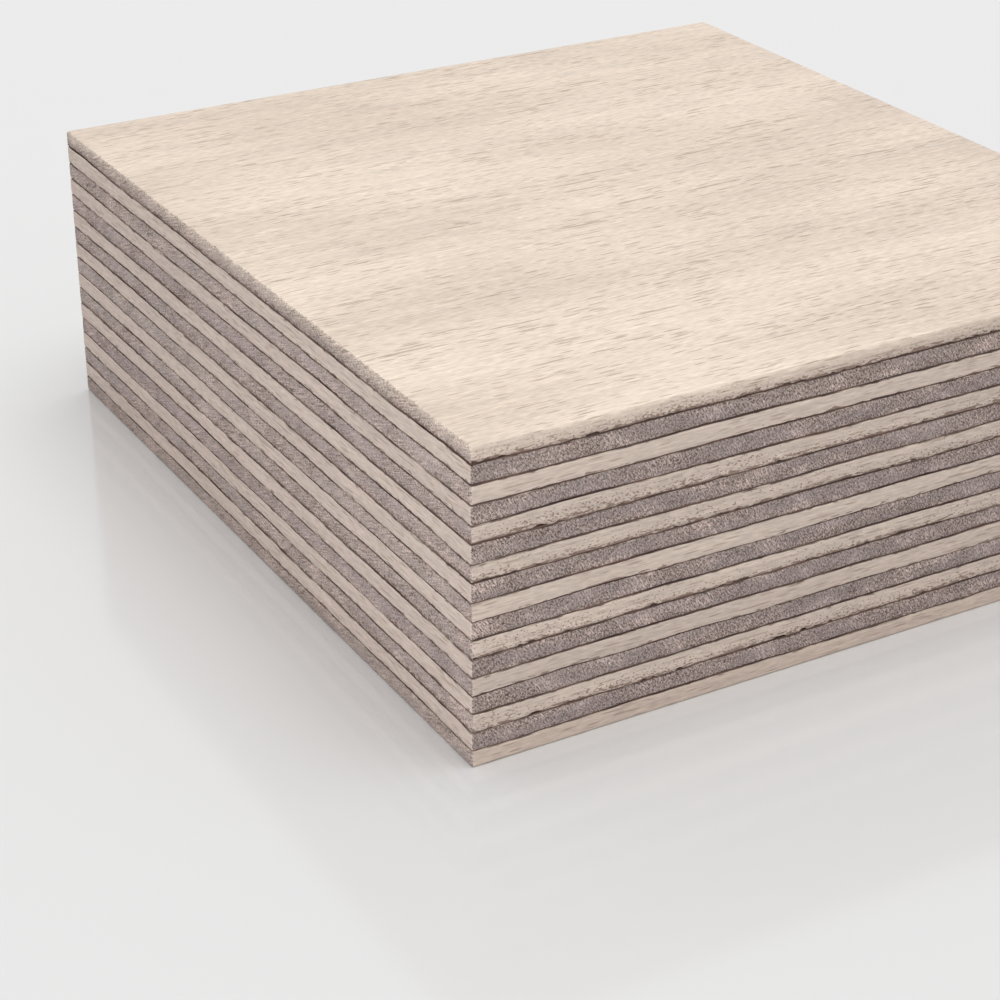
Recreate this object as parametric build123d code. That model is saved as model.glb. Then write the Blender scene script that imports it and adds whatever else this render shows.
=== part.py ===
from build123d import *
import os

# A block sawn out of a cross-banded hardwood plywood board, all lengths in millimetres.
# X runs along the grain of the face veneer, Z is up, and the origin is the middle of the underside.

# The block as it is sawn, with every edge eased by sandpaper
block_length = 64.0
block_width = 69.0
eased_edge_radius = 0.2

# The lay-up as it leaves the press, and what the sander then takes off each of its two faces
ply_count = 17
veneer_thickness = 1.28
glue_thickness = 0.12
sanding_depth = 0.03

# The cured glue is brittle and breaks off behind the saw cut, which leaves a dark groove between the plies
glue_setback = 0.1

ply_pitch = veneer_thickness + glue_thickness
pressed_thickness = ply_count * ply_pitch - glue_thickness
board_thickness = pressed_thickness - 2 * sanding_depth


def ply_name(number):
    """Name of a ply, counted from the face down; the odd plies have their grain along X."""
    if number == 1:
        return "face_veneer"
    if number == ply_count:
        return "back_veneer"
    grain = "long" if number % 2 else "cross"
    return f"{grain}_ply_{number:02d}"


def ply_underside(number):
    """Height of the lower side of a ply as pressed, before the board's faces are sanded."""
    plies_below = ply_count - number
    return plies_below * ply_pitch - sanding_depth


def sawn_block():
    """Envelope of the finished block, sanded to thickness, with its edges eased."""
    blank = extrude(Rectangle(block_length, block_width), board_thickness)
    return fillet(blank.edges(), eased_edge_radius)


def veneer(number, block):
    """One ply: a sheet pressed into its place in the lay-up, then sanded and eased with the block."""
    sheet = extrude(Rectangle(block_length, block_width), veneer_thickness)
    return block & (Pos(0, 0, ply_underside(number)) * sheet)


def glue_film(number):
    """Cured glue that fills the bond line under a ply, up to its setback from the sawn edges."""
    sawn_outline = RectangleRounded(block_length, block_width, eased_edge_radius)
    film = extrude(offset(sawn_outline, -glue_setback), glue_thickness)
    return Pos(0, 0, ply_underside(number) - glue_thickness) * film


os.makedirs("parts", exist_ok=True)
block = sawn_block()
for number in range(1, ply_count + 1):
    export_step(veneer(number, block), f"parts/{ply_name(number)}.step")
films = [glue_film(number) for number in range(1, ply_count)]
export_step(Compound(children=films), "parts/glue_lines.step")
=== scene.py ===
import math

import bmesh
import bpy
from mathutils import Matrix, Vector, noise


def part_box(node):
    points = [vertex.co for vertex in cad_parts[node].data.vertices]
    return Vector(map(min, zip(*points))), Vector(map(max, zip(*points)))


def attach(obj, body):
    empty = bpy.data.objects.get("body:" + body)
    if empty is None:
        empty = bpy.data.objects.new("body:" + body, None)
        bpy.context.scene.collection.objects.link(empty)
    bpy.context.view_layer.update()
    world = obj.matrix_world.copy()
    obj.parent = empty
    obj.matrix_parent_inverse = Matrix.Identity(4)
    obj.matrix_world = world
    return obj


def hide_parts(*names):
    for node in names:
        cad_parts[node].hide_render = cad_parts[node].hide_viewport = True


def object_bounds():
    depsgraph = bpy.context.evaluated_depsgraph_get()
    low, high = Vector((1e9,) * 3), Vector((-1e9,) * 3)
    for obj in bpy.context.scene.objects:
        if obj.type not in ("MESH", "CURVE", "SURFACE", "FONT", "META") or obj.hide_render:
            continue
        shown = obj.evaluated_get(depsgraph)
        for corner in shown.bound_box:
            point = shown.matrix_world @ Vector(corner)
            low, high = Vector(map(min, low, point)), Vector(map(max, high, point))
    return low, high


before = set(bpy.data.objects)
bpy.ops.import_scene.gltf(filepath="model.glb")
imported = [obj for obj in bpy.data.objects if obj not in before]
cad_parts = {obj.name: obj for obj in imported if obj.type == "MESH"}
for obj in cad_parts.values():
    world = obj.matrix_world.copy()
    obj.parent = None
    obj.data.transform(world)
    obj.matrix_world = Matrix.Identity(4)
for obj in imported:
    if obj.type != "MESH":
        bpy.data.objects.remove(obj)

# A block sawn from cross-banded plywood. Lengths are in metres, and mm turns millimetres into them.
mm = 0.001
cad_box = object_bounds()
block_low, block_high = cad_box
half_length = block_high.x
half_width = block_high.y
film_low, film_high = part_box("glue_lines")

# Plies from the face down, as the frame has them
plies = sorted((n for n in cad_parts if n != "glue_lines"), key=lambda n: -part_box(n)[0].z)
last_ply = len(plies) - 1

# Edges and mesh of a ply
eased_radius = 0.2 * mm
eased_steps = 3
column_step = 0.16 * mm
wall_rows = 8
wall_depth = 0.9 * eased_radius
lip_width = 0.17 * mm
cap_cell = 8.0 * mm
cut_slack = 0.0001 * mm
flat_slope = 0.9
sharp_angle = math.radians(50)

# Wander of the bond lines along the sawn edges
wave_length = 7.0 * mm
wave_height = 0.13 * mm
ripple_length = 1.6 * mm
ripple_height = 0.03 * mm

# Torn, ragged and rounded lips of the plies beside a bond line. Plies and joints count from the face down.
lip_reach = 0.09 * mm
lip_drop = 0.03 * mm
ragged_length = 0.4 * mm
ragged_height = 0.04 * mm
tear_length = 0.6 * mm
tear_depth = 0.18 * mm
tear_start = 0.12
tear_rise = 0.55
stretch_length = 5.0 * mm
stretch_share = 0.35
torn_plies = (1, 5, 7, 11, 15)
torn_gain = 3.6
clean_gain = 0.5
tight_joints = (9, 13)
tight_close = 0.035 * mm

# Relief of the sawn walls: combed fibres on long grain, a stipple on end grain and frayed outer edges
fibre_length = 4.0 * mm
fibre_height = 0.16 * mm
fibre_depth = 0.022 * mm
stipple_size = 0.26 * mm
stipple_depth = 0.045 * mm
fray_length = 0.45 * mm
fray_depth = 0.16 * mm

# Glue films, which stand back from the sawn edges
film_setback = film_low.x + half_length
film_step = 0.32 * mm
film_corner = eased_radius / 2
film_lip = eased_radius / 3
film_slack = 0.004 * mm
squeeze_length = 1.3 * mm
squeeze_reach = 0.07 * mm

# Steps through the noise from one joint or ply to the next, and from one kind of wear to another
joint_stride = 7.3
ply_stride = 31.7
upper_lip_shift = 0.5
squeeze_shift = 3.0
tear_shift = 11.0
stretch_shift = 23.0
fray_shift = 41.0

# Tone of a whole ply, and the gap that is stored where a ply has no bond line
tone_place = (0.3, 0.7)
tone_spread = 0.7
no_bond = 9.0 * mm

# Screen colours of the wood, as a darker and a lighter tone
sanded_tones = ((221, 204, 188), (228, 212, 196))
face_sawn_tones = ((190, 172, 160), (198, 183, 171))
face_end_tones = ((166, 150, 144), (172, 157, 150))
long_sawn_tones = ((193, 177, 166), (202, 186, 174))
long_end_tones = ((166, 150, 147), (176, 161, 155))
cross_sawn_tones = ((199, 181, 173), (209, 193, 181))
cross_end_tones = ((141, 127, 125), (151, 137, 132))

# How square to an axis the surface stands where it starts to be, and fully is, end grain or face
end_turn = (0.45, 0.85)
face_turn = (0.3, 0.95)

# Painted glow: the upper part of the face veneer's edge, painted paler towards the top edge, in millimetres
# above the floor
top_glow_low = block_high.z / mm - 1.12
top_glow_high = block_high.z / mm - 0.12
top_glow_side_share = 0.6
top_glow_end_share = 0.4

# Wood grain: the size of a noise cell along, across and through the grain, in millimetres
drift_cells = (18, 7, 4)
cloud_cells = (26, 9, 6)
band_cells = (12, 1.3, 0.6)
streak_cells = (60, 0.5, 0.4)
fibre_cells = (5.0, 0.10, 0.10)
patch_cells = (7, 2.5, 1.2)
zone_cells = (18, 7, 1.0)
stipple_cells = (0.8, 0.11, 0.22)
hair_cells = (1.0, 0.07, 0.38)
hatch_cells = (1.0, 1.5, 0.075)
speck_cells = (0.9, 0.25, 0.2)
pore_cells = (2.8, 0.25, 0.25)
vessel_cells = (14, 0.62, 0.62)
pit_cells = (0.22, 0.2, 0.12)
coat_cells = (1.8, 1.8, 1.4)

# Drift of the grain in millimetres, and the lean of the marks that the saw left
drift_reach = (0, 1.4, 0.12)
hair_lean = math.radians(-32)
hatch_lean = math.radians(-22)

# How far the grain darkens and lightens the wood
cloud_shade = 0.09
band_shade = 0.10
streak_shade = 0.13
fibre_side_shade = 0.45
fibre_end_shade = 1.8
stipple_side_shade = 0.40
speck_side_shade = 0.32
patch_shade = 0.25
darkest_shade = 0.3

# Shade of the stipple, the hatch and the standing hairs on end grain, where the saw combed it or tore it
combed_marks = (1.0, 1.1, 0.3)
torn_marks = (2.6, 0.4, 0.6)

# Noise values over which clouds, rough zones and hairs come in
cloud_range = (0.3, 0.7)
zone_range = (0.35, 0.7)
hair_range = (0.66, 0.76)
hair_pull = 0.60
zone_tint = (1.03, 0.97, 0.91, 1)
zone_brown = 0.5
zone_smooth = 0.82
zone_rough = 1.25

# Open pores: their reach in shares of a cell, the share of it that is fully dark, and their depth of colour
pore_reach = 0.25
vessel_reach = 0.13
pore_core = 0.65
pore_pull = 0.30
pore_tint = (0.38, 0.29, 0.22, 1)
pore_side_shade = 0.4
pore_face_shade = 0.55
pore_end_shade = 0.7

# Brown stain at the torn lips, together with painted shade along the ply edges beside the bond lines: how
# far they climb from the bond lines, in millimetres
low_stain_and_shade_gain = 1.3
low_stain_and_shade_start = -0.66
torn_stain_and_shade_rise = 0.14
high_stain_and_shade_gain = -0.7
high_stain_and_shade_start = 0.29
stain_and_shade_edge = (-0.03, 0.06)
stain_and_shade_strength = 0.72
stain_and_shade_brown = (108, 83, 71)

# Brown pits on the torn plies, fewer with each millimetre above the bond line
pit_range = (0.50, 0.60)
pit_pull = 0.2
pit_fall = 0.13
pit_shade = 0.75
pit_brown = (118, 94, 82)

# Glue on the surfaces inside the bond lines
coat_gap = 0.02
coat_range = (0.3, 0.7)
coat_share = 0.8
coat_brown = (66, 44, 39)

# Fine relief and sheen of the wood
side_stipple_rise = 0.7
end_stipple_rise = 1.6
fibre_rise = 0.5
wood_bump = 0.7
wood_bump_height = 0.06 * mm
sheen_pull = 0.5
sheen_range = (0.3, 0.7)
wood_roughness = (0.54, 0.70)
wood_specular = 0.3

# Cured glue
glue_tones = ((64, 43, 38), (104, 79, 69))
glue_patch_cells = (3.0, 3.0, 0.7)
glue_range = (0.35, 0.7)
glue_roughness = (0.4, 0.65)
grit_cells = (0.15, 0.15, 0.1)
grit_bump = 0.5
grit_bump_height = 0.03 * mm

# Floor
floor_half = 3.0
floor_white = (0.79, 0.79, 0.79, 1)
floor_roughness = 0.12
floor_ior = 1.75

# Room light: its brightness before and behind the block, along the line of sight
sky_axis = (0.5, 0.87, 0.0)
sky_front = 0.38
sky_back = 0.86
sky_white = (1, 1, 1, 1)

# Lamps: a broad key light from above, and a soft light placed from the block's front corner
key_power = 1.38
key_aim = (-0.1, 0.14, -1)
key_spread = math.radians(50)
front_power = 0.25
front_size = 115 * mm
front_place = Vector((-140, -158, 50)) * mm

# Camera, placed from the block's front corner, with its focal length in pixels of the picture
camera_azimuth = math.radians(-29.84)
camera_elevation = math.radians(27.34)
camera_place = Vector((-66.32, -119.29, 90.54)) * mm
focal_pixels = 2464.2
picture_pixels = 1000.0
sensor_width = 36.0
nearest_view = 0.001
farthest_view = 20


def smooth_noise(x, y, z):
    """Smooth noise from about -1 to 1."""
    return noise.noise(Vector((x, y, z)))


def half_noise(x, y, z):
    """Smooth noise from about 0 to 1."""
    return 0.5 + 0.5 * smooth_noise(x, y, z)


def bond_wave(joint, x, y):
    """How far a bond line lies above or below its level at a place on the sawn edge."""
    level = joint * joint_stride
    slow = smooth_noise(x / wave_length, y / wave_length, level)
    quick = smooth_noise(x / ripple_length, y / ripple_length, level)
    return wave_height * slow + ripple_height * quick


def edge_depth(x, y):
    """Distance of a place from the nearest sawn face."""
    return max(0.0, min(half_length - abs(x), half_width - abs(y)))


def edge_fade(depth):
    """Full at the sawn face and nothing behind the lip."""
    return max(0.0, 1.0 - depth / lip_width)


def outward(x, y):
    """Direction out of the block at its sawn wall, turning round the eased corners."""
    over_x = abs(x) - (half_length - eased_radius)
    over_y = abs(y) - (half_width - eased_radius)
    if over_x > 0 and over_y > 0:
        return Vector((math.copysign(over_x, x), math.copysign(over_y, y), 0)).normalized()
    if over_x > over_y:
        return Vector((math.copysign(1, x), 0, 0))
    return Vector((0, math.copysign(1, y), 0))


def grain_turned(ply):
    """True where a ply's grain runs along Y."""
    return ply.startswith("cross")


# Sheets
def plain_block(low, high):
    """A block between two corners."""
    bm = bmesh.new()
    bmesh.ops.create_cube(bm, size=1)
    bmesh.ops.scale(bm, vec=high - low, verts=bm.verts)
    bmesh.ops.translate(bm, vec=(low + high) / 2, verts=bm.verts)
    return bm


def round_edges(bm, edges, radius):
    """Rounds edges to a radius."""
    bmesh.ops.bevel(bm, geom=edges, offset=radius, segments=eased_steps, profile=0.5,
                    affect="EDGES", material=-1)


def upright(edge, least):
    """True for an edge that rises more than a least height."""
    low, high = sorted(v.co.z for v in edge.verts)
    return high - low > least


def caps(bm):
    """The large flat faces of a sheet."""
    return [f for f in bm.faces if abs(f.normal.z) > flat_slope and f.calc_area() > cap_cell * cap_cell]


def uncut_caps(bm):
    """Flat faces that still have more than four corners."""
    return [f for f in bm.faces if len(f.verts) > 4 and abs(f.normal.z) > flat_slope]


def open_caps(bm):
    """Takes the large flat faces off a sheet, so that its wall can be cut fine."""
    bmesh.ops.delete(bm, geom=caps(bm), context="FACES_ONLY")


def close_caps(bm):
    """Closes a sheet's wall with one flat face above and one below."""
    bmesh.ops.edgeloop_fill(bm, edges=[e for e in bm.edges if e.is_boundary])
    bmesh.ops.recalc_face_normals(bm, faces=bm.faces)


def quarter_caps(bm):
    """Cuts the large flat faces into cells."""
    for normal, half in ((Vector((1, 0, 0)), half_length), (Vector((0, 1, 0)), half_width)):
        cuts = int(2 * half / cap_cell)
        for i in range(1, cuts):
            place = normal * (2 * half * i / cuts - half)
            flat = uncut_caps(bm)
            geom = list({e for f in flat for e in f.edges}) + flat
            geom += list({v for f in flat for v in f.verts})
            bmesh.ops.bisect_plane(bm, geom=geom, dist=cut_slack, plane_co=place, plane_no=normal)


def cut_columns(bm, along, half, step):
    """Divides the long edges that run along one axis into even columns."""
    run = half - eased_radius * 2
    other = 1 - along
    runs = [e for e in bm.edges
            if abs(e.verts[0].co[along] - e.verts[1].co[along]) > run
            and abs(e.verts[0].co[other] - e.verts[1].co[other]) < step]
    bmesh.ops.subdivide_edges(bm, edges=runs, cuts=round(2 * run / step) - 1)


def cut_wall(bm, high, step):
    """Divides a sheet's wall into columns on all four sides, then closes the sheet."""
    cut_columns(bm, 0, high.x, step)
    cut_columns(bm, 1, high.y, step)
    close_caps(bm)


def finish_mesh(bm, name):
    """Turns a bmesh into an object with smooth walls and sharp lips."""
    bm.normal_update()
    for face in bm.faces:
        face.smooth = True
    for edge in bm.edges:
        if len(edge.link_faces) == 2 and edge.calc_face_angle(0.0) > sharp_angle:
            edge.smooth = False
    mesh = bpy.data.meshes.new(name)
    bm.to_mesh(mesh)
    bm.free()
    piece = bpy.data.objects.new(name, mesh)
    bpy.context.scene.collection.objects.link(piece)
    return piece


# Plies
def ply_blank(low, high, outer_heights):
    """A ply as a plain sheet, with its edges rounded, its outer face eased and its wall cut fine."""
    bm = plain_block(low, high)
    eased = [e for e in bm.edges if upright(e, lip_width)]
    for height in outer_heights:
        eased += [e for e in bm.edges if all(abs(v.co.z - height) < eased_radius for v in e.verts)]
    round_edges(bm, eased, eased_radius)
    open_caps(bm)
    rising = [e for e in bm.edges if upright(e, lip_width)]
    bmesh.ops.subdivide_edges(bm, edges=rising, cuts=wall_rows - 1)
    cut_wall(bm, high, column_step)
    return bm


def lip_tear(x, y, seed, gain):
    """How badly the lip of a ply is torn at a place on the sawn edge."""
    tear = max(0.0, smooth_noise(x / tear_length, y / tear_length, seed + tear_shift) - tear_start)
    stretch = stretch_share + smooth_noise(x / stretch_length, y / stretch_length, seed + stretch_shift)
    return tear * (max(0.0, stretch) * gain)


def saw_relief(along, z, seed, end_grain):
    """Depth of the saw marks at a place on the sawn wall."""
    if end_grain:
        return stipple_depth * half_noise(along / stipple_size, z / stipple_size, seed)
    return fibre_depth * half_noise(along / fibre_length, z / fibre_height, seed)


def shape_ply(index):
    """Mesh of one ply, with its wandering bond lines, torn lips and sawn relief."""
    low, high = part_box(plies[index])
    is_top = index == 0
    is_bottom = index == last_ply
    is_outer = is_top or is_bottom
    bm = ply_blank(low, high, [high.z] * is_top + [low.z] * is_bottom)
    bonded = [f for f in caps(bm) if not (is_top and f.normal.z > 0 or is_bottom and f.normal.z < 0)]
    bmesh.ops.inset_individual(bm, faces=bonded, thickness=lip_width, use_even_offset=True)
    lower_gap = bm.verts.layers.float.new("lower_gap")
    upper_gap = bm.verts.layers.float.new("upper_gap")
    sheet_tone = bm.verts.layers.float.new("sheet_tone")
    sheet_torn = bm.verts.layers.float.new("sheet_torn")
    turned = grain_turned(plies[index])
    is_torn = index + 1 in torn_plies
    seed = index * ply_stride
    tone = 0.5 + tone_spread * smooth_noise(seed, *tone_place)
    for vert in bm.verts:
        x, y, z = vert.co
        share = (z - low.z) / (high.z - low.z)
        if not is_outer:
            # Rows crowd towards both lips
            share = 0.5 - 0.5 * math.cos(math.pi * share)
            z = low.z + share * (high.z - low.z)
        gap_low = no_bond if is_bottom else z - low.z
        gap_high = no_bond if is_top else high.z - z
        gap = min(gap_low, gap_high)
        by_lower = gap_low < gap_high
        depth = edge_depth(x, y)
        wall = outward(x, y)
        wall_along_y = abs(wall.x) > abs(wall.y)
        end_grain = wall_along_y != turned

        # The bond lines wander, and the lips beside them are ragged, torn or pressed tight
        rise = 0.0
        if not is_top:
            rise += share * bond_wave(index - 1, x, y)
        if not is_bottom:
            rise += (1 - share) * bond_wave(index, x, y)
        lip_seed = seed + (0.0 if by_lower else upper_lip_shift)
        near = math.exp(-gap / lip_reach)
        ragged = half_noise(x / ragged_length, y / ragged_length, lip_seed)
        gain = torn_gain if is_torn and by_lower and not end_grain else clean_gain
        tear = lip_tear(x, y, lip_seed, gain)
        joint = index + 1 if by_lower else index
        closed = tight_close if joint in tight_joints else 0.0
        back = (ragged_height * ragged + tear_rise * tear_depth * tear - closed) * near
        rise += back if by_lower else -back
        vert.co.z = z + rise * edge_fade(depth)
        vert[lower_gap] = gap_low / mm
        vert[upper_gap] = gap_high / mm
        vert[sheet_tone] = tone
        vert[sheet_torn] = float(is_torn)

        # The saw marks, the worn lips and the frayed outer edges go into the wall
        if depth < wall_depth and not (depth > 0 and gap <= 0):
            push = saw_relief(y if wall_along_y else x, z, seed, end_grain)
            push += (lip_drop + tear_depth * tear) * near
            outer_gap = high.z - z if is_top else z - low.z
            if is_outer and end_grain and outer_gap < eased_radius:
                fray = max(0.0, smooth_noise(x / fray_length, y / fray_length, seed + fray_shift))
                push += fray_depth * fray
            vert.co -= wall * push
    quarter_caps(bm)
    return bm


# Glue films
def shape_film(joint):
    """Mesh of one glue film, which follows its bond line and breaks off unevenly behind the saw cut."""
    upper_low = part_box(plies[joint])[0]
    lower_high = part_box(plies[joint + 1])[1]
    low = Vector((film_low.x, film_low.y, lower_high.z + film_slack))
    high = Vector((film_high.x, film_high.y, upper_low.z - film_slack))
    bm = plain_block(low, high)
    round_edges(bm, [e for e in bm.edges if upright(e, film_slack)], film_corner)
    open_caps(bm)
    cut_wall(bm, high, film_step)
    bmesh.ops.inset_individual(bm, faces=caps(bm), thickness=film_lip, use_even_offset=True)
    seed = joint * joint_stride + squeeze_shift
    for vert in bm.verts:
        x, y, z = vert.co
        depth = edge_depth(x, y)
        vert.co.z = z + bond_wave(joint, x, y) * edge_fade(depth)
        if depth < film_setback + film_slack:
            squeeze = smooth_noise(x / squeeze_length, y / squeeze_length, seed)
            vert.co += outward(x, y) * squeeze_reach * squeeze
    quarter_caps(bm)
    return bm


# Nodes
def linear(red, green, blue):
    """Colour from screen values of 0 to 255."""
    def channel(value):
        """One channel of the colour, without the screen's curve."""
        value /= 255
        return value / 12.92 if value <= 0.04045 else ((value + 0.055) / 1.055) ** 2.4
    return (channel(red), channel(green), channel(blue), 1.0)


def node(tree, kind, inputs=None, output=0, **settings):
    """Adds a node, sets or links its inputs and returns one of its outputs."""
    made = tree.nodes.new("ShaderNode" + kind)
    for name, value in settings.items():
        setattr(made, name, value)
    for key, value in (inputs or {}).items():
        if isinstance(value, bpy.types.NodeSocket):
            tree.links.new(value, made.inputs[key])
        else:
            made.inputs[key].default_value = value
    return made.outputs[output]


def calc(tree, operation, *values):
    """One sum on two or three values."""
    return node(tree, "Math", dict(enumerate(values)), operation=operation)


def added(tree, *values):
    """Sum of several values."""
    total = values[0]
    for value in values[1:]:
        total = calc(tree, "ADD", total, value)
    return total


def times(tree, first, second):
    """Product of two values."""
    return calc(tree, "MULTIPLY", first, second)


def swing(tree, value, amount):
    """Value that swings evenly about zero, from noise that swings about a half."""
    return calc(tree, "MULTIPLY_ADD", value, amount, -0.5 * amount)


def ramp(tree, value, start, end, low=0.0, high=1.0):
    """Low at start, high at end, smooth between."""
    inputs = {0: value, 1: start, 2: end, 3: low, 4: high}
    return node(tree, "MapRange", inputs, interpolation_type="SMOOTHSTEP")


def between(tree, factor, first, second):
    """Number between two others."""
    return node(tree, "Mix", {0: factor, 2: first, 3: second}, data_type="FLOAT")


def blend(tree, factor, first, second, how="MIX"):
    """Two colours blended by a factor."""
    return node(tree, "Mix", {0: factor, 6: first, 7: second}, output=2, data_type="RGBA", blend_type=how)


def toned(tree, factor, tones):
    """Colour between a darker and a lighter tone."""
    darker, lighter = tones
    return blend(tree, factor, linear(*darker), linear(*lighter))


def vector_calc(tree, operation, first, second):
    """One sum on two vectors."""
    return node(tree, "VectorMath", {0: first, 1: second}, operation=operation)


def grain_cells(tree, place, cells, lean=0.0):
    """Place counted in cells of a size along, across and through the grain, leaning about the grain."""
    inputs = {"Vector": place, "Rotation": (lean, 0, 0), "Scale": cells}
    return node(tree, "Mapping", inputs, vector_type="TEXTURE")


def grain_noise(tree, place, cells, detail=0.0, lean=0.0):
    """Noise in cells of the grain."""
    at = grain_cells(tree, place, cells, lean)
    return node(tree, "TexNoise", {"Vector": at, "Scale": 1.0, "Detail": detail})


def vessels(tree, place, thin_out, cells, reach):
    """Long thin hollows, one to a cell, with fewer where thin_out is higher."""
    at = grain_cells(tree, place, cells)
    far = node(tree, "TexVoronoi", {"Vector": at, "Scale": 1.0}, "Distance")
    return ramp(tree, added(tree, far, thin_out), reach, pore_core * reach)


def start_material(name):
    """New material with an empty node tree."""
    material = bpy.data.materials.new(name)
    material.use_nodes = True
    material.node_tree.nodes.clear()
    return material, material.node_tree


def end_material(tree, inputs):
    """Shader and output of a material."""
    shader = node(tree, "BsdfPrincipled", inputs)
    output = tree.nodes.new("ShaderNodeOutputMaterial")
    tree.links.new(shader, output.inputs["Surface"])


def grain_place(tree, turned):
    """Place on the piece in millimetres, with the first axis along the grain."""
    turn = -math.pi / 2 if turned else 0.0
    to_mm = 1 / mm
    place = node(tree, "TexCoord", output="Object")
    inputs = {"Vector": place, "Rotation": (0, 0, turn), "Scale": (to_mm, to_mm, to_mm)}
    return node(tree, "Mapping", inputs)


def stored(tree, layer):
    """Number stored on the vertices of a ply."""
    return node(tree, "Attribute", {}, "Fac", attribute_name=layer)


# Materials
def drifting(tree, place):
    """Place on a grain that drifts slowly across the veneer."""
    drift = grain_noise(tree, place, drift_cells).node.outputs["Color"]
    drift = vector_calc(tree, "SUBTRACT", drift, (0.5, 0.5, 0.5))
    drift = vector_calc(tree, "MULTIPLY", drift, drift_reach)
    return vector_calc(tree, "ADD", place, drift)


def cut_sides(tree, turned):
    """How far the surface is end grain, and how far it is the veneer's face."""
    normal = node(tree, "NewGeometry", output="Normal")
    normal = node(tree, "VectorMath", {0: normal}, operation="ABSOLUTE")
    sides = node(tree, "SeparateXYZ", {0: normal}).node.outputs
    along_grain = sides[1 if turned else 0]
    return ramp(tree, along_grain, *end_turn), ramp(tree, sides[2], *face_turn)


def open_pores(tree, grain, patch):
    """Pores of two sizes, dashes along the grain and dots on the end grain."""
    thin_out = swing(tree, patch, pore_pull)
    short = vessels(tree, grain, thin_out, pore_cells, pore_reach)
    long = vessels(tree, grain, thin_out, vessel_cells, vessel_reach)
    return calc(tree, "MAXIMUM", short, long)


def lip_stain_and_shade(tree, speck):
    """Brown specks where the saw tore the lips, and painted shade along the ply edges beside the bond
    lines, most of all at the lower one.
    """
    low_reach = calc(tree, "MULTIPLY_ADD", speck, low_stain_and_shade_gain, low_stain_and_shade_start)
    low_reach = calc(tree, "MULTIPLY_ADD", stored(tree, "sheet_torn"), torn_stain_and_shade_rise, low_reach)
    high_reach = calc(tree, "MULTIPLY_ADD", speck, high_stain_and_shade_gain, high_stain_and_shade_start)
    low = ramp(tree, calc(tree, "SUBTRACT", low_reach, stored(tree, "lower_gap")), *stain_and_shade_edge)
    high = ramp(tree, calc(tree, "SUBTRACT", high_reach, stored(tree, "upper_gap")), *stain_and_shade_edge)
    return times(tree, calc(tree, "MAXIMUM", low, high), stain_and_shade_strength)


def torn_pits(tree, grain, patch):
    """Pits on the torn plies, most of them near the lower bond line."""
    pit = added(tree, grain_noise(tree, grain, pit_cells, detail=1.0), swing(tree, patch, pit_pull))
    pit = calc(tree, "MULTIPLY_ADD", stored(tree, "lower_gap"), -pit_fall, pit)
    pit = ramp(tree, pit, *pit_range)
    return times(tree, pit, times(tree, stored(tree, "sheet_torn"), pit_shade))


def glue_coat(tree, place):
    """Glue left in patches on the surfaces inside the bond lines."""
    gap = calc(tree, "MINIMUM", stored(tree, "lower_gap"), stored(tree, "upper_gap"))
    inside = ramp(tree, gap, coat_gap, 0.0)
    coat = ramp(tree, grain_noise(tree, place, coat_cells), *coat_range, 0.0, coat_share)
    return times(tree, inside, coat)


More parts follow.
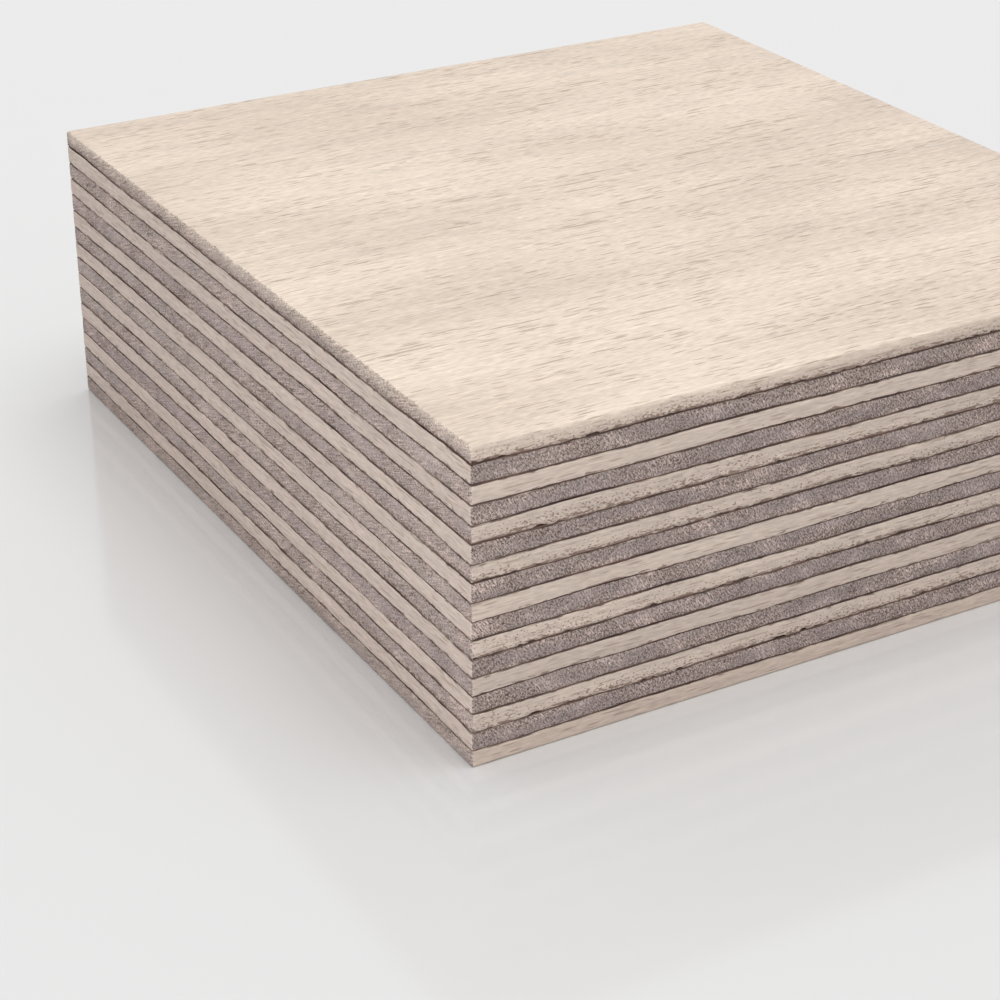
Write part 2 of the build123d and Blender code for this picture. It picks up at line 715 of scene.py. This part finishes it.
def veneer_wood(name, turned, sawn_tones, end_tones, cut_marks):
    """Peeled hardwood veneer: sanded on its face, sawn along its edge, dark and granular on end grain."""
    material, tree = start_material(name)
    stipple_end_shade, hatch_shade, hair_shade = cut_marks
    place = grain_place(tree, turned)
    grain = drifting(tree, place)
    is_end, is_face = cut_sides(tree, turned)
    level = node(tree, "SeparateXYZ", {0: place}, "Z")
    # Painted glow: the upper part of the face veneer's edge takes the paler colour of the face
    top_glow = ramp(tree, level, top_glow_low, top_glow_high)
    is_face = calc(tree, "MAXIMUM", is_face, times(tree, top_glow, top_glow_side_share))

    cloud = grain_noise(tree, place, cloud_cells)
    band = grain_noise(tree, grain, band_cells)
    streak = grain_noise(tree, grain, streak_cells)
    fibre = grain_noise(tree, place, fibre_cells, detail=1.0)
    patch = grain_noise(tree, place, patch_cells)
    zone = grain_noise(tree, place, zone_cells)
    stipple = grain_noise(tree, place, stipple_cells, detail=1.0, lean=hair_lean)
    hatch = grain_noise(tree, place, hatch_cells, lean=hatch_lean)
    speck = grain_noise(tree, grain, speck_cells, detail=1.0)

    # Hairs are fibre ends that the saw left standing
    hair = grain_noise(tree, place, hair_cells, lean=hair_lean)
    hair = ramp(tree, added(tree, hair, swing(tree, patch, hair_pull)), *hair_range)

    # Ground colour of the face, the sawn side and the end grain
    tone = stored(tree, "sheet_tone")
    side_colour = toned(tree, tone, sawn_tones)
    face_colour = toned(tree, ramp(tree, cloud, *cloud_range), sanded_tones)
    end_colour = toned(tree, tone, end_tones)
    brown_end = blend(tree, 1.0, end_colour, zone_tint, "MULTIPLY")
    end_colour = blend(tree, ramp(tree, zone, *zone_range, 0.0, zone_brown), end_colour, brown_end)
    # Painted glow on the end grain at the face veneer's upper edge
    end_colour = blend(tree, times(tree, top_glow, top_glow_end_share), end_colour, face_colour)
    colour = blend(tree, is_end, blend(tree, is_face, side_colour, face_colour), end_colour)

    # Grain that darkens and lightens it
    side_shade = added(tree, swing(tree, fibre, fibre_side_shade), swing(tree, band, band_shade),
                       swing(tree, streak, streak_shade), swing(tree, stipple, stipple_side_shade),
                       swing(tree, speck, speck_side_shade))
    end_shade = added(tree, swing(tree, fibre, fibre_end_shade), swing(tree, stipple, stipple_end_shade),
                      swing(tree, hatch, hatch_shade), times(tree, hair, hair_shade))
    end_shade = times(tree, end_shade, ramp(tree, zone, *zone_range, zone_smooth, zone_rough))
    end_shade = added(tree, end_shade, swing(tree, patch, patch_shade))
    shade = between(tree, is_end, side_shade, end_shade)
    shade = added(tree, shade, swing(tree, cloud, cloud_shade), 1.0)
    shade = calc(tree, "MAXIMUM", shade, darkest_shade)
    colour = node(tree, "VectorMath", {0: colour, "Scale": shade}, operation="SCALE")

    # Pores, then what the saw and the glue left at the bond lines, and the painted shade beside them
    pore_shade = between(tree, is_face, pore_side_shade, pore_face_shade)
    pore_shade = between(tree, is_end, pore_shade, pore_end_shade)
    pore = times(tree, open_pores(tree, grain, patch), pore_shade)
    colour = blend(tree, pore, colour, blend(tree, 1.0, colour, pore_tint, "MULTIPLY"))
    # Brown tear specks and painted shade along the ply edges beside the bond lines
    colour = blend(tree, lip_stain_and_shade(tree, speck), colour, linear(*stain_and_shade_brown))
    on_side = calc(tree, "SUBTRACT", 1.0, calc(tree, "MAXIMUM", is_end, is_face))
    colour = blend(tree, times(tree, torn_pits(tree, grain, patch), on_side), colour, linear(*pit_brown))
    colour = blend(tree, glue_coat(tree, place), colour, linear(*coat_brown))

    stipple_rise = ramp(tree, is_end, 0.0, 1.0, side_stipple_rise, end_stipple_rise)
    height = calc(tree, "MULTIPLY_ADD", stipple, stipple_rise, times(tree, fibre, fibre_rise))
    bump = node(tree, "Bump", {"Strength": wood_bump, "Distance": wood_bump_height, "Height": height})
    sheen = added(tree, band, swing(tree, stipple, sheen_pull))
    rough = ramp(tree, sheen, *sheen_range, *wood_roughness)
    end_material(tree, {"Base Color": colour, "Roughness": rough, "Specular IOR Level": wood_specular,
                        "Normal": bump})
    return material


def cured_glue(name):
    """Brittle dark film in the bond lines."""
    material, tree = start_material(name)
    place = grain_place(tree, False)
    patch = grain_noise(tree, place, glue_patch_cells, detail=1.0)
    grit = grain_noise(tree, place, grit_cells, detail=1.0)
    colour = toned(tree, ramp(tree, patch, *glue_range), glue_tones)
    bump = node(tree, "Bump", {"Strength": grit_bump, "Distance": grit_bump_height, "Height": grit})
    rough = ramp(tree, patch, *glue_range, *glue_roughness)
    end_material(tree, {"Base Color": colour, "Roughness": rough, "Normal": bump})
    return material


def pale_floor(name):
    """Plain glossy white."""
    material, tree = start_material(name)
    end_material(tree, {"Base Color": floor_white, "Roughness": floor_roughness, "IOR": floor_ior})
    return material


# Pieces
def add_plies():
    """All veneers, each a piece of its own."""
    face_wood = veneer_wood("face_veneer_wood", False, face_sawn_tones, face_end_tones, combed_marks)
    long_wood = veneer_wood("long_ply_wood", False, long_sawn_tones, long_end_tones, combed_marks)
    cross_wood = veneer_wood("cross_ply_wood", True, cross_sawn_tones, cross_end_tones, torn_marks)
    pieces = []
    for index, name in enumerate(plies):
        piece = finish_mesh(shape_ply(index), name + "_wood")
        if grain_turned(name):
            wood, slot = cross_wood, "cross_ply"
        elif index in (0, last_ply):
            wood, slot = face_wood, "face_veneer"
        else:
            wood, slot = long_wood, "long_ply"
        piece.data.materials.append(wood)
        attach(piece, "root")
        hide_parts(name)
        pieces.append(piece)
    return pieces


def add_glue():
    """All glue films as one piece."""
    joined = bmesh.new()
    for joint in range(last_ply):
        film = shape_film(joint)
        mesh = bpy.data.meshes.new("film")
        film.to_mesh(mesh)
        film.free()
        joined.from_mesh(mesh)
        bpy.data.meshes.remove(mesh)
    piece = finish_mesh(joined, "glue_films")
    piece.data.materials.append(cured_glue("cured_glue"))
    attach(piece, "root")
    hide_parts("glue_lines")
    return piece


# Studio
def add_floor():
    """Wide flat floor under the block."""
    bm = bmesh.new()
    bmesh.ops.create_grid(bm, x_segments=1, y_segments=1, size=floor_half)
    mesh = bpy.data.meshes.new("floor")
    bm.to_mesh(mesh)
    bm.free()
    floor = bpy.data.objects.new("floor", mesh)
    bpy.context.scene.collection.objects.link(floor)
    floor.data.materials.append(pale_floor("pale_floor"))


def add_lamp(name, kind, power, aim):
    """Lamp that shines along a direction."""
    data = bpy.data.lights.new(name, kind)
    data.energy = power
    lamp = bpy.data.objects.new(name, data)
    lamp.rotation_mode = "QUATERNION"
    lamp.rotation_quaternion = Vector(aim).to_track_quat("-Z", "Y")
    bpy.context.scene.collection.objects.link(lamp)
    return lamp


def add_sky():
    """Soft room light, brighter behind the block than before it."""
    world = bpy.data.worlds.new("studio")
    world.use_nodes = True
    tree = world.node_tree
    way = node(tree, "TexCoord", output="Generated")
    behind = node(tree, "VectorMath", {0: way, 1: sky_axis}, "Value", operation="DOT_PRODUCT")
    bright = node(tree, "MapRange", {0: behind, 1: -1.0, 2: 1.0, 3: sky_front, 4: sky_back})
    room = tree.nodes["Background"].inputs
    room["Color"].default_value = sky_white
    tree.links.new(bright, room["Strength"])
    bpy.context.scene.world = world


def add_lamps(pieces):
    """A broad key light from above, and a soft light before the front corner that lights the block only."""
    key = add_lamp("key", "SUN", key_power, key_aim)
    key.data.angle = key_spread
    front = add_lamp("front", "AREA", front_power, -front_place)
    front.data.size = front_size
    front.location = block_low + front_place
    block = bpy.data.collections.new("block")
    for piece in pieces:
        block.objects.link(piece)
    front.light_linking.receiver_collection = block


def add_camera():
    """Camera of the photo, looking along its azimuth and elevation."""
    data = bpy.data.cameras.new("camera")
    data.sensor_width = sensor_width
    data.lens = sensor_width * focal_pixels / picture_pixels
    data.clip_start = nearest_view
    data.clip_end = farthest_view
    camera = bpy.data.objects.new("camera", data)
    camera.location = block_low + camera_place
    level = math.cos(camera_elevation)
    back = Vector((math.sin(camera_azimuth) * level, -math.cos(camera_azimuth) * level,
                   math.sin(camera_elevation)))
    camera.rotation_mode = "QUATERNION"
    camera.rotation_quaternion = (-back).to_track_quat("-Z", "Y")
    bpy.context.scene.collection.objects.link(camera)
    bpy.context.scene.camera = camera


block_pieces = add_plies()
block_pieces.append(add_glue())
add_floor()
add_sky()
add_lamps(block_pieces)
add_camera()
bpy.context.scene.view_settings.view_transform = "Standard"
